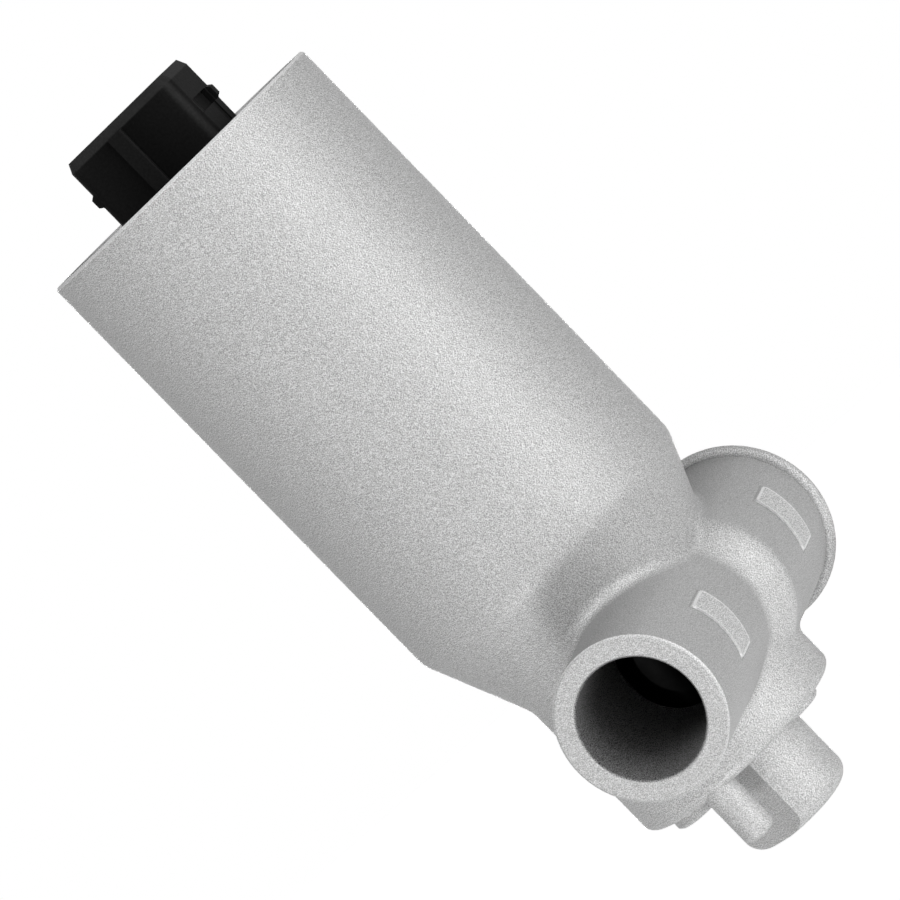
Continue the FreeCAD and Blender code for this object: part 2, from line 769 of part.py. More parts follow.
def brush_spring(side):
    """Coil spring of square wire between the brush and the closed end of its guide."""
    start = COMM_R + BRUSH_PLAY + BRUSH_LONG
    length = TUBE_END - TUBE_WALL - start
    pitch = (length - SPRING_WIRE) / SPRING_TURNS
    radius = BRUSH_WIDE / 2.0 - SPRING_WIRE - 0.1
    half = SPRING_WIRE / 2.0
    path = Part.makeHelix(pitch, pitch * SPRING_TURNS, radius)
    profile = Part.makePolygon([vec(radius - half, 0, -half), vec(radius + half, 0, -half),
                                vec(radius + half, 0, half), vec(radius - half, 0, half),
                                vec(radius - half, 0, -half)])
    coil = Part.Wire(path.Edges).makePipeShell([profile], True, True)
    coil.translate(vec(0, 0, half))
    coil.rotate(vec(0, 0, 0), vec(0, 1, 0), 90)
    coil.translate(vec(start, 0, brush_mid()))
    return turned_over(coil, side)


def brush_plate():
    shape = ring(PLATE_HOLE_R, CAVITY_R - PLATE_GAP, brush_top(), plate_top())
    return shape.cut([terminal(1), terminal(-1)])


def yoke():
    return ring(MAGNET_OUT_R, CAVITY_R, FLOOR_Z, brush_top())


def magnet(side):
    inner = CORE_R + AIR_GAP
    shape = arc_piece(inner, MAGNET_OUT_R, core_low() - MAGNET_OVER, core_top() + MAGNET_OVER,
                      90.0 - MAGNET_SPAN / 2.0, MAGNET_SPAN)
    return turned_over(shape, side)


def magnet_springs():
    """Bowed strips that press the magnets apart against the ring."""
    outer = MAGNET_OUT_R
    span = 180.0 - MAGNET_SPAN
    low = core_low() - MAGNET_OVER
    high = core_top() + MAGNET_OVER
    strips = []
    for turn in (0.0, 180.0):
        start = turn - span / 2.0
        back = arc_piece(outer - CLIP_STRIP, outer, low, high, start, span)
        legs = [arc_piece(outer - CLIP_LEG, outer, low, high, turn_at, CLIP_LEG_SPAN)
                for turn_at in (start, start + span - CLIP_LEG_SPAN)]
        strips.append(back.fuse(legs).removeSplitter())
    return Part.makeCompound(strips)


def divider_top():
    return DIVIDER_Z + DIVIDER_THICK


def divider():
    """Plate between the motor and the air, with the seal's seat and holes for the two pins."""
    shape = ring(DIVIDER_HOLE_R, SPRING_ROOM_R, DIVIDER_Z, divider_top())
    shape = shape.cut(post(SEAL_R, divider_top() - SEAL_SEAT, divider_top() + 1))
    return shape.cut([stop_pin(), anchor_pin()])


def shaft_seal():
    high = divider_top() - 0.2
    low = divider_top() - SEAL_SEAT
    inner = SHAFT_R + SEAL_PLAY
    return spin([(inner, low), (SEAL_R, low), (SEAL_R, high), (inner + 1.2, high), (inner + 1.2, low + 0.7),
                 (inner, low + 0.7)])


def stop_pin():
    spot = bearing_point(PIN_TURN, PIN_OUT, 0)
    return post(PIN_R, DIVIDER_Z, divider_top() + COLLAR_LIFT + STOP_THICK, spot.x, spot.y)


def spiral_end():
    """Outer radius reached by the spring's centre line."""
    return COLLAR_R + COIL_STRIP / 2.0 + COIL_PITCH / 2.0 * (COIL_HALF_TURNS - 1)


def anchor_pin():
    """Post for the spring's outer end, beside the last half turn."""
    x = spiral_centre(COIL_HALF_TURNS - 1) + spiral_side(COIL_HALF_TURNS - 1) * (
        spiral_end() + COIL_STRIP / 2.0 + PIN_R)
    high = divider_top() + COLLAR_LIFT + STOP_THICK + COIL_LIFT + COIL_HIGH
    return post(PIN_R, DIVIDER_Z, high, x, 0.0)


def spiral_centre(index):
    return 0.0 if index % 2 == 0 else COIL_PITCH / 2.0


def spiral_side(index):
    return -1.0 if index % 2 == 0 else 1.0


def spring_collar():
    """Collar on the shaft that takes the spring's inner end; its notched disc meets the stop pin."""
    low = divider_top() + COLLAR_LIFT
    disc = post(STOP_R, low, low + STOP_THICK)
    half = math.degrees(math.asin(PIN_R / PIN_OUT)) + STOP_PLAY
    notch = arc_piece(STOP_ROOT_R, STOP_R + 1, low - 1, low + STOP_THICK + 1, PIN_TURN - half,
                      TRAVEL + 2.0 * half)
    shape = disc.cut(notch).fuse(post(COLLAR_R, low, low + COLLAR_HIGH))
    return shape.cut(post(SHAFT_R, low - 1, low + COLLAR_HIGH + 1))


def return_spring():
    """Flat spiral spring made of half turns, from the collar out to the anchor pin."""
    low = divider_top() + COLLAR_LIFT + STOP_THICK + COIL_LIFT
    pieces = []
    for index in range(COIL_HALF_TURNS):
        mid = COLLAR_R + COIL_STRIP / 2.0 + COIL_PITCH / 2.0 * index
        turn = ring(mid - COIL_STRIP / 2.0, mid + COIL_STRIP / 2.0, low, low + COIL_HIGH)
        reach = mid + COIL_STRIP
        keep = box(-reach, reach, 0 if index % 2 == 0 else -reach, reach if index % 2 == 0 else 0, low,
                   low + COIL_HIGH)
        half = turn.common(keep)
        half.translate(vec(spiral_centre(index), 0, 0))
        pieces.append(half)
    return pieces[0].fuse(pieces[1:]).removeSplitter()


def rotary_slide():
    """Hub, two webs and a curved wall with a rounded nose that covers the air passage."""
    low = PORT_Z - SLIDE_HALF
    high = PORT_Z + SLIDE_HALF
    inner = SLIDE_R - SLIDE_WALL
    hub = post(SLIDE_HUB_R, low, high + SLIDE_NECK)
    webs = [wedge(SLIDE_R, low, low + SLIDE_WEB, SLIDE_START, SLIDE_SPAN),
            wedge(SLIDE_R, high - SLIDE_WEB, high, SLIDE_START, SLIDE_SPAN)]
    wall = arc_piece(inner, SLIDE_R, low, high, SLIDE_START, SLIDE_SPAN).cut(nose_cut())
    shape = hub.fuse(webs + [wall]).removeSplitter()
    return shape.cut([post(SHAFT_R, low - 1, high + SLIDE_NECK + 1), cross_pin()])


def nose_cut():
    """Corners above and below the rounded nose of the slide's wall."""
    start = math.radians(SLIDE_START)
    edge = SLIDE_R * math.sin(start)
    half = SLIDE_HALF - SLIDE_WEB
    block = box(edge - 1.0, edge + SLIDE_NOSE_R, -SLIDE_R - 1, 0, PORT_Z - half, PORT_Z + half)
    nose = Part.makeCylinder(SLIDE_NOSE_R, SLIDE_R + 3, vec(edge + SLIDE_NOSE_R, -SLIDE_R - 2, PORT_Z),
                             vec(0, 1, 0))
    return block.cut(nose)


def preload_washer():
    high = upper_seat() + WASHER_THICK
    return ring(BEARING_R - RACE_WALL, BEARING_R - 0.1, high - WASHER_THICK, high)


def main():
    save("housing", housing())
    save("connector_cap", cap())
    save("cap_seal", cap_seal())
    save("cap_retaining_ring", retaining_ring())
    upper = plate_top() + BEARING_LIFT
    lower = bearing_floor()
    for name, low in (("upper", upper), ("lower", lower)):
        save(name + "_bearing_outer", bearing_outer(low))
        save(name + "_bearing_inner", bearing_inner(low))
        save(name + "_bearing_balls", bearing_balls(low))
    for name, side in (("right", 1), ("left", -1)):
        save("terminal_" + name, terminal(side))
        save("brush_" + name, brush(side))
        save("brush_tube_" + name, brush_tube(side))
        save("brush_spring_" + name, brush_spring(side))
        save("magnet_" + name, magnet(side))
    save("preload_washer", preload_washer())
    save("brush_plate", brush_plate())
    save("shaft", shaft())
    save("shaft_circlip", circlip())
    save("armature_core", armature_core())
    save("armature_winding", armature_winding())
    save("winding_disc_upper", winding_disc(core_top()))
    save("winding_disc_lower", winding_disc(core_low() - DISC_THICK))
    save("commutator_hub", commutator_hub())
    save("commutator_segments", commutator_segments())
    save("flux_ring", yoke())
    save("magnet_springs", magnet_springs())
    save("divider_plate", divider())
    save("shaft_seal", shaft_seal())
    save("stop_pin", stop_pin())
    save("spring_anchor", anchor_pin())
    save("spring_collar", spring_collar())
    save("return_spring", return_spring())
    save("rotary_slide", rotary_slide())
    save("slide_pin", cross_pin())


main()
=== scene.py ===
import json
import math
from collections import namedtuple

import bpy
from mathutils import Matrix, Vector

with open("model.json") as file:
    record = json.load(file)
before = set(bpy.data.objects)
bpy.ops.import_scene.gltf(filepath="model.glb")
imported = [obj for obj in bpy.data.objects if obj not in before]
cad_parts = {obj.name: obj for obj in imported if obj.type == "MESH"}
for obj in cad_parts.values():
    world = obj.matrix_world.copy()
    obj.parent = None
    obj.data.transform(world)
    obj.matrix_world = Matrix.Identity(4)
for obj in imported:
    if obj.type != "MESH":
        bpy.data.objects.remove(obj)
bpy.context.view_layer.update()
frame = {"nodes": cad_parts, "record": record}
NODES = frame["nodes"]

# Camera in the frame of the part, in degrees and metres, with its lens and sensor in millimetres
VIEW_TURN = 22.4
VIEW_PITCH = 4.845
VIEW_DISTANCE = 0.7238
VIEW_TARGET = (-0.00015, 0.0, -0.01814)
LENS = 206.0
SENSOR = 36.0
CLIP_NEAR = 0.05
CLIP_FAR = 30.0
# Shares of the upright camera's right and up that make the right of the rolled camera
ROLL_RIGHT = (0.7164, -0.6977)

# Floor and world. FILL is the world's plain light, and the glow makes the floor white to the camera.
FLOOR_Z = -0.90
FLOOR_HALF = 6.0
FLOOR_TONE = 0.8
FLOOR_ROUGHNESS = 0.9
FLOOR_GLOW = 0.93
FILL = 0.04

# Lamps by their bearing from the camera, in degrees, metres and watts, aimed at one point of the motor axis
AIM_Z = -0.02
Lamp = namedtuple("Lamp", "name bearing height distance width tall power")
LAMPS = (
    Lamp("key_high", -35.0, 1.2, 1.1, 0.8, 0.8, 8.3),
    Lamp("front_high", 0.0, 1.2, 1.1, 0.8, 0.8, 2.5),
    Lamp("front", 15.0, 0.05, 1.2, 0.6, 1.2, 2.0),
    Lamp("right", 45.0, 0.05, 1.2, 0.6, 1.2, 6.2),
    Lamp("side", 70.0, 0.05, 1.2, 0.6, 1.2, 2.7),
    Lamp("left", -45.0, 0.05, 1.2, 0.6, 1.2, 0.45),
    Lamp("low_front", -30.0, -0.80, 1.1, 0.4, 0.4, 5.4),
    Lamp("low_left", -60.0, -0.80, 1.1, 0.4, 0.4, 1.2),
    Lamp("back", 180.0, -0.154, 1.6, 0.5, 0.5, 14.0),
)

# Nozzles of the casting, in metres, with their side along Y and the places of the mouth and the pad on it
PORT_Z = -0.0587
Nozzle = namedtuple("Nozzle", "x outside bore side mouth pad")
NOZZLES = (
    Nozzle(0.0080, 0.0121, 0.0089, -1.0, 0.0380, 0.0210),
    Nozzle(0.0108, 0.0131, 0.0100, 1.0, 0.0293, 0.01485),
)
CAN_TOP = 0.0365
CHAMBER_R = 0.0113
CHAMBER_LOW = -0.0705

# Masks on the casting, in metres. FAR lies beyond the part, and SKIN, EDGE and SOFT are widths of borders.
FAR = 0.060
SKIN = 0.00005
EDGE = 0.0001
SOFT = 0.0002
NOZZLE_START = 0.001
LAND_FADE = 0.0005
LAND_END = 0.0006
CAN_RIM = 0.00035
MOUTH_RIM = 0.0003
MOUTH_SOFT = 0.0003
PAD_HALF_WIDTH = 0.0031
PAD_HALF_HEIGHT = 0.0050
PAD_RISE = 0.0006
# How far the pads' mask grows for the dark line around them: painted shade at the pads' walls
PAD_SHADE_GROW = 0.00022
# Width of the pads' pale border: painted edge highlight
PAD_HIGHLIGHT_WIDTH = 0.0004
# Heights over which the casting turns to its paler tone below the can: painted light that brightens the
# valve section's highlights
VALVE_PAINTED_LIGHT_Z = (-0.052, -0.064)
# Heights over which the nozzles' lands darken towards the can: painted shadow of the can
PAINTED_SHADE_ABOVE_Z = (-0.0500, -0.0464)
# Box under the second nozzle where painted shade darkens the casting, with the width of its soft border
PAINTED_SHADE_BELOW = ((0.012, FAR), (0.006, FAR), (-0.080, -0.0690))
PAINTED_SHADE_BELOW_SOFT = 0.005
# Depth over which painted shade darkens the passages' walls away from the first nozzle's mouth
SOOT_SHADE_DEPTH = 0.012
# Where the mask of a pad starts, as a share of the nozzle's radius
PAD_SIDE = 0.5

# Shares of a tone in its mask
PAINTED_SHADE_BELOW_SHARE = 0.8
PAD_SHADE_SHARE = 0.8
RIM_HIGHLIGHT_SHARE = 0.75
MOUTH_HIGHLIGHT_SHARE = 0.6

# Darkest and palest tone of the casting's grain, and of the painted light, painted shade and painted
# highlights laid over it
CAST_TONES = {
    "can": (0.31, 0.75),
    "valve_painted_light": (0.35, 0.84),
    "land": (0.36, 0.65),
    "painted_shade_above": (0.28, 0.52),
    "painted_shade_below": (0.22, 0.62),
    "mouth": (0.36, 0.76),
    "pad_painted_shade": (0.26, 0.44),
    "painted_edge_highlight": (0.72, 0.98),
    "pad_top": (0.36, 0.99),
}
# Darkest and palest tone of the soot, each at the mouth and further in, where painted shade makes it darker
SOOT_SHADE_DARK = (0.03, 0.02)
SOOT_SHADE_PALE = (0.36, 0.29)

# Grain and relief of the casting: scales are per metre, lengths in metres and angles in radians
GRAIN_SCALE = 5500.0
GRAIN_GAP = 0.00016
GRAIN_TILT = (0.6, 0.4, 0.9)
GRAIN_SPAN = 0.30
CAST_METALLIC = 0.16
CAST_SPECULAR = 0.03
CAST_SPECULAR_TONE = 0.5
CAST_ROUGHNESS = 0.42
WALL_ROUGHNESS = 0.55
CAST_RELIEF_SCALE = 6400.0
CAST_RELIEF = 0.4
CAST_RELIEF_DEPTH = 0.00006

# Connector cap: darkest and palest tone of its grain where it is plain, under painted light and under
# painted highlights, gloss and relief
PLASTIC_TONES = {
    "skin": (0.0055, 0.0085),
    "painted_light": (0.017, 0.026),
    "painted_highlight": (0.026, 0.036),
}
PLASTIC_ROUGHNESS = 0.45
PLASTIC_SPECULAR = 0.012
PLASTIC_GRAIN_SCALE = 2400.0
PLASTIC_RELIEF_SCALE = 3000.0
PLASTIC_RELIEF = 0.2

# Places where light is painted on the cap, in metres, with the share of the paler tone at the sides, rib
# and corners, the corners and crown as painted highlights
PLUG_RIM_Z = 0.04635
PLUG_SIDES = ((-0.002, -0.0105, 0.55), (0.002, 0.0090, 0.4))
KEY_RIB = ((-0.0021, 0.0005), (-0.010, -0.00585))
KEY_RIB_SHARE = 0.55
Corner = namedtuple("Corner", "x y radius share")
PLUG_CORNERS = (
    Corner(0.0097, -0.0052, 0.0009, 1.0),
    Corner(-0.0097, 0.0052, 0.0009, 1.0),
    Corner(0.00055, -0.0063, 0.0004, 0.6),
)
CORNER_CORE = 0.2

# Detail of the finer noises, and spans of a noise that are spread over two tones or two roughnesses
FINE = 3.0
TONE_SPAN = (0.25, 0.75)
WEAR_SPAN = (0.3, 0.7)
# Wear of a plain material: its scale against the grain's, and its change of roughness
WEAR_SCALE = 0.35
WEAR_CHANGE = 0.15
# Relief of a plain material: its scale against the grain's, and its depth in metres
RELIEF_SCALE = 1.6
RELIEF_DEPTH = 0.0001
# Materials in layers: about the length in metres of one band of the wave texture at a scale of one
BAND_LENGTH = 0.3125
BAND_DISTORTION = 0.15
BAND_RELIEF = 0.5

# Sockets of the mix node that belong to colours
MIX_FACTOR = 0
MIX_FIRST = 6
MIX_SECOND = 7
MIX_RESULT = 2


def grey(value):
    return (value, value, value)


def opaque(colour):
    return (*colour, 1.0)


# Plain materials. The grain's scale is per metre, and variation is its change of tone.
Plain = namedtuple(
    "Plain",
    "colour metallic roughness grain variation relief specular",
    defaults=(0.12, 0.0, 0.5),
)
PLAIN = {
    "hard_anodised": Plain(grey(0.008), 0.0, 0.34, 1500.0, 0.15, 0.1, 0.1),
    "seal_rubber": Plain(grey(0.02), 0.0, 0.6, 1500.0, 0.2),
    "spring_steel": Plain(grey(0.45), 1.0, 0.3, 1800.0),
    "bearing_steel": Plain(grey(0.62), 1.0, 0.15, 1200.0, 0.05),
    "tinned_contact": Plain((0.66, 0.64, 0.58), 1.0, 0.28, 1600.0),
    "brush_carbon": Plain(grey(0.035), 0.0, 0.55, 2600.0, 0.3, 0.2),
    "brass": Plain((0.72, 0.5, 0.2), 1.0, 0.3, 1300.0),
    "ferrite": Plain(grey(0.05), 0.1, 0.5, 1700.0, 0.25, 0.15),
    "yoke_steel": Plain((0.5, 0.5, 0.47), 1.0, 0.35, 700.0),
    "moulded_laminate": Plain((0.22, 0.12, 0.06), 0.0, 0.5, 1100.0, 0.2, 0.15),
    "machined_aluminium": Plain(grey(0.55), 0.9, 0.38, 1500.0, 0.08, 0.1),
    "ground_steel": Plain(grey(0.58), 1.0, 0.2, 1900.0, 0.06),
    "copper": Plain((0.75, 0.34, 0.18), 1.0, 0.28, 1200.0),
}

# Materials in layers along the motor axis, with their pitch in metres
Banded = namedtuple("Banded", "first second pitch metallic roughness")
BANDED = {
    "stack_steel": Banded(grey(0.16), grey(0.34), 0.0005, 0.9, 0.4),
    "copper_winding": Banded((0.25, 0.08, 0.03), (0.6, 0.22, 0.1), 0.0004, 0.7, 0.3),
}


def turned(x, y, z):
    """From the camera's upright frame, which looks along +Y, to the part's frame."""
    a = math.radians(VIEW_TURN)
    return Vector((math.cos(a) * x - math.sin(a) * y, math.sin(a) * x + math.cos(a) * y, z))


def make_camera():
    pitch = math.radians(VIEW_PITCH)
    ahead = turned(0.0, math.cos(pitch), -math.sin(pitch))
    right = turned(1.0, 0.0, 0.0)
    up = right.cross(ahead)
    across = right * ROLL_RIGHT[0] + up * ROLL_RIGHT[1]
    upward = (-ahead).cross(across)
    data = bpy.data.cameras.new("camera")
    data.lens = LENS
    data.sensor_width = SENSOR
    data.clip_start = CLIP_NEAR
    data.clip_end = CLIP_FAR
    camera = bpy.data.objects.new("camera", data)
    place = turned(*VIEW_TARGET) - ahead * VIEW_DISTANCE
    turn = Matrix((across, upward, -ahead)).transposed()
    camera.matrix_world = Matrix.Translation(place) @ turn.to_4x4()
    bpy.context.collection.objects.link(camera)
    bpy.context.scene.camera = camera


class Tree:
    """A material's nodes, made in few words."""

    def __init__(self, name):
        self.material = bpy.data.materials.new(name)
        self.material.use_nodes = True
        self.nodes = self.material.node_tree.nodes
        self.links = self.material.node_tree.links
        self.shader = self.nodes["Principled BSDF"]

    def add(self, kind, **settings):
        node = self.nodes.new(kind)
        for key, value in settings.items():
            setattr(node, key, value)
        return node

    def link(self, start, end):
        self.links.new(start, end)

    def set(self, **values):
        """Constant values on the shader, with _ for a space in a socket's name."""
        for key, value in values.items():
            self.shader.inputs[key.replace("_", " ")].default_value = value

    def feed(self, socket, value):
        self.link(value, self.shader.inputs[socket])

    def place(self):
        return self.add("ShaderNodeTexCoord").outputs["Object"]

    def part_of(self, axis):
        split = self.add("ShaderNodeSeparateXYZ")
        self.link(self.place(), split.inputs[0])
        return split.outputs[axis]

    def reach(self, centre, across):
        """Distance from a line through a centre, with one for each axis across the line."""
        away = self.add("ShaderNodeVectorMath", operation="SUBTRACT")
        away.inputs[1].default_value = centre
        self.link(self.place(), away.inputs[0])
        flat = self.add("ShaderNodeVectorMath", operation="MULTIPLY")
        flat.inputs[1].default_value = across
        self.link(away.outputs[0], flat.inputs[0])
        length = self.add("ShaderNodeVectorMath", operation="LENGTH")
        self.link(flat.outputs[0], length.inputs[0])
        return length.outputs["Value"]

    def from_nozzle(self, nozzle):
        """Distance from the axis of a nozzle."""
        return self.reach((nozzle.x, 0.0, PORT_Z), (1.0, 0.0, 1.0))

    def from_upright(self, x, y):
        """Distance from a line beside the motor axis."""
        return self.reach((x, y, 0.0), (1.0, 1.0, 0.0))

    def noise(self, scale, detail=2.0, vector=None):
        node = self.add("ShaderNodeTexNoise")
        node.inputs["Scale"].default_value = scale
        node.inputs["Detail"].default_value = detail
        self.link(vector or self.place(), node.inputs["Vector"])
        return node.outputs["Fac"]

    def speckle(self, scale, gap):
        """Noise less its mean at three places a little aside, which leaves only its fine part."""
        tilted = self.add("ShaderNodeMapping")
        tilted.inputs["Rotation"].default_value = GRAIN_TILT
        self.link(self.place(), tilted.inputs["Vector"])
        around = []
        for axis in range(3):
            step = [0.0, 0.0, 0.0]
            step[axis] = gap
            moved = self.add("ShaderNodeVectorMath", operation="ADD")
            moved.inputs[1].default_value = step
            self.link(tilted.outputs["Vector"], moved.inputs[0])
            around.append(self.scaled(self.noise(scale, 0.0, moved.outputs[0]), 1.0 / 3.0))
        here = self.noise(scale, 0.0, tilted.outputs["Vector"])
        return self.combine("SUBTRACT", here, self.merge("ADD", around))

    def spread(self, value, low, high, to_low=0.0, to_high=1.0):
        """One span of values mapped to another and kept inside it."""
        node = self.add("ShaderNodeMapRange")
        node.inputs["From Min"].default_value = low
        node.inputs["From Max"].default_value = high
        node.inputs["To Min"].default_value = to_low
        node.inputs["To Max"].default_value = to_high
        self.link(value, node.inputs["Value"])
        return node.outputs["Result"]

    def below(self, value, low, high):
        """One up to the first value, falling to nought at the second."""
        return self.spread(value, low, high, 1.0, 0.0)

    def band(self, value, low, high, soft=SOFT):
        """One between two values, nought outside them."""
        rise = self.spread(value, low - soft, low)
        fall = self.below(value, high, high + soft)
        return self.combine("MULTIPLY", rise, fall)

    def zone(self, x=None, y=None, z=None, soft=SOFT):
        """One inside a box, which has no limit along an axis that is left out."""
        bands = []
        for axis, span in (("X", x), ("Y", y), ("Z", z)):
            if span:
                bands.append(self.band(self.part_of(axis), *span, soft))
        return self.merge("MULTIPLY", bands)

    def scaled(self, value, factor):
        node = self.add("ShaderNodeMath", operation="MULTIPLY")
        self.link(value, node.inputs[0])
        node.inputs[1].default_value = factor
        return node.outputs[0]

    def combine(self, operation, first, second):
        node = self.add("ShaderNodeMath", operation=operation)
        self.link(first, node.inputs[0])
        self.link(second, node.inputs[1])
        return node.outputs[0]

    def merge(self, operation, values):
        merged = values[0]
        for value in values[1:]:
            merged = self.combine(operation, merged, value)
        return merged

    def mix(self, factor):
        node = self.add("ShaderNodeMix", data_type="RGBA")
        self.link(factor, node.inputs[MIX_FACTOR])
        return node

    def colours(self, value, first, second):
        """From one colour at nought to another at one."""
        node = self.mix(value)
        node.inputs[MIX_FIRST].default_value = opaque(first)
        node.inputs[MIX_SECOND].default_value = opaque(second)
        return node.outputs[MIX_RESULT]

    def greys(self, value, tones):
        return self.colours(value, grey(tones[0]), grey(tones[1]))

    def cover(self, below, above, mask):
        """One colour laid over another where the mask is one."""
        node = self.mix(mask)
        self.link(below, node.inputs[MIX_FIRST])
        self.link(above, node.inputs[MIX_SECOND])
        return node.outputs[MIX_RESULT]

    def bump(self, height, strength, distance=RELIEF_DEPTH):
        node = self.add("ShaderNodeBump")
        node.inputs["Strength"].default_value = strength
        node.inputs["Distance"].default_value = distance
        self.link(height, node.inputs["Height"])
        self.feed("Normal", node.outputs["Normal"])


def along(nozzle, low, high):
    """Span along Y on the nozzle's side of the motor axis."""
    return tuple(sorted((nozzle.side * low, nozzle.side * high)))


def passages(tree):
    """Walls of the air passages and of the slide chamber."""
    masks = []
    for nozzle in NOZZLES:
        wall = nozzle.bore + EDGE
        near = tree.below(tree.from_nozzle(nozzle), wall, wall + SOFT)
        masks.append(tree.combine("MULTIPLY", near, tree.zone(y=along(nozzle, NOZZLE_START, FAR))))
    wall = CHAMBER_R + EDGE
    chamber = tree.below(tree.from_upright(0.0, 0.0), wall, wall + SOFT)
    masks.append(tree.combine("MULTIPLY", chamber, tree.zone(z=(CHAMBER_LOW, 0.0))))
    return tree.merge("MAXIMUM", masks)


def hose_lands(tree):
    """Smoother outside of the nozzles, where the hoses sit."""
    masks = []
    for nozzle in NOZZLES:
        reach = tree.from_nozzle(nozzle)
        near = tree.below(reach, nozzle.outside + SKIN, nozzle.outside + LAND_FADE)
        length = tree.zone(y=along(nozzle, NOZZLE_START, nozzle.mouth - LAND_END))
        masks.append(tree.combine("MULTIPLY", near, length))
    return tree.merge("MAXIMUM", masks)


def mouths(tree):
    """Faces of the nozzles' mouths, smoother than the skin."""
    masks = []
    for nozzle in NOZZLES:
        masks.append(tree.zone(y=along(nozzle, nozzle.mouth - SOFT, FAR), soft=MOUTH_SOFT))
    return tree.merge("MAXIMUM", masks)


def pads(tree, grow):
    """Raised pads on the outer side of the nozzles, made larger or smaller all round."""
    half_width = PAD_HALF_WIDTH + grow
    half_height = PAD_HALF_HEIGHT + grow
    masks = []
    for nozzle in NOZZLES:
        reach = tree.from_nozzle(nozzle)
        top = nozzle.outside + PAD_RISE
        if grow > 0.0:
            near = tree.below(reach, top, top + EDGE)
        else:
            near = tree.band(reach, nozzle.outside + SKIN, top, EDGE)
        outer_side = (nozzle.x + nozzle.outside * PAD_SIDE, FAR)
        length = along(nozzle, nozzle.pad - half_width, nozzle.pad + half_width)
        height = (PORT_Z - half_height, PORT_Z + half_height)
        masks.append(tree.combine("MULTIPLY", near, tree.zone(outer_side, length, height, EDGE)))
    return tree.merge("MAXIMUM", masks)


def rim_highlights(tree):
    """Rim of the can, and less strongly the edges of the nozzles' mouths, as painted edge highlights."""
    masks = [tree.zone(z=(CAN_TOP - CAN_RIM, FAR), soft=EDGE)]
    for nozzle in NOZZLES:
        reach = tree.from_nozzle(nozzle)
        mouth = tree.zone(y=along(nozzle, nozzle.mouth - MOUTH_RIM, FAR), soft=EDGE)
        for radius in (nozzle.outside, nozzle.bore):
            edge = tree.band(reach, radius - EDGE, radius + EDGE)
            masks.append(tree.scaled(tree.combine("MULTIPLY", edge, mouth), MOUTH_HIGHLIGHT_SHARE))
    return tree.merge("MAXIMUM", masks)


def soot_and_shade(tree, grain):
    """Dull dark film in the air passages, with painted shade that makes it a little darker away from the
    first nozzle's mouth.
    """
    mouth = -NOZZLES[0].mouth
    depth = tree.spread(tree.part_of("Y"), mouth, mouth + SOOT_SHADE_DEPTH)
    return tree.cover(tree.greys(depth, SOOT_SHADE_DARK), tree.greys(depth, SOOT_SHADE_PALE), grain)


def cast_aluminium():
    """Fine blasted casting: soft grey with a bright and dark grain, and dark air passages, with painted
    shade above, under and around the nozzles' pads, painted edge highlights and painted light on the valve
    section.
    """
    tree = Tree("cast_aluminium")
    tree.set(Metallic=CAST_METALLIC, Specular_IOR_Level=CAST_SPECULAR)
    tree.set(Specular_Tint=opaque(grey(CAST_SPECULAR_TONE)))
    grain = tree.spread(tree.speckle(GRAIN_SCALE, GRAIN_GAP), -GRAIN_SPAN, GRAIN_SPAN)
    tone = {name: tree.greys(grain, tones) for name, tones in CAST_TONES.items()}
    height = tree.part_of("Z")
    # Paler tone on the valve section: painted light
    skin = tree.cover(tone["can"], tone["valve_painted_light"], tree.spread(height, *VALVE_PAINTED_LIGHT_Z))
    # The lands darken at their top next to the can: painted shadow
    land = tree.cover(tone["land"], tone["painted_shade_above"], tree.spread(height, *PAINTED_SHADE_ABOVE_Z))
    # Painted shade under the second nozzle
    painted_shade_below = tree.zone(*PAINTED_SHADE_BELOW, PAINTED_SHADE_BELOW_SOFT)
    walls = passages(tree)
    layers = (
        (land, hose_lands(tree)),
        (tone["painted_shade_below"], tree.scaled(painted_shade_below, PAINTED_SHADE_BELOW_SHARE)),
        (tone["mouth"], mouths(tree)),
        # Dark line around the pads: painted shade
        (tone["pad_painted_shade"], tree.scaled(pads(tree, PAD_SHADE_GROW), PAD_SHADE_SHARE)),
        # Pale border of the pads: painted edge highlight
        (tone["painted_edge_highlight"], pads(tree, 0.0)),
        (tone["pad_top"], pads(tree, -PAD_HIGHLIGHT_WIDTH)),
        # Pale rims of the can and the mouths: painted edge highlights
        (tone["painted_edge_highlight"], tree.scaled(rim_highlights(tree), RIM_HIGHLIGHT_SHARE)),
        (soot_and_shade(tree, grain), walls),
    )
    for colour, mask in layers:
        skin = tree.cover(skin, colour, mask)
    tree.feed("Base Color", skin)
    tree.feed("Roughness", tree.spread(walls, 0.0, 1.0, CAST_ROUGHNESS, WALL_ROUGHNESS))
    tree.bump(tree.noise(CAST_RELIEF_SCALE), CAST_RELIEF, CAST_RELIEF_DEPTH)
    return tree.material


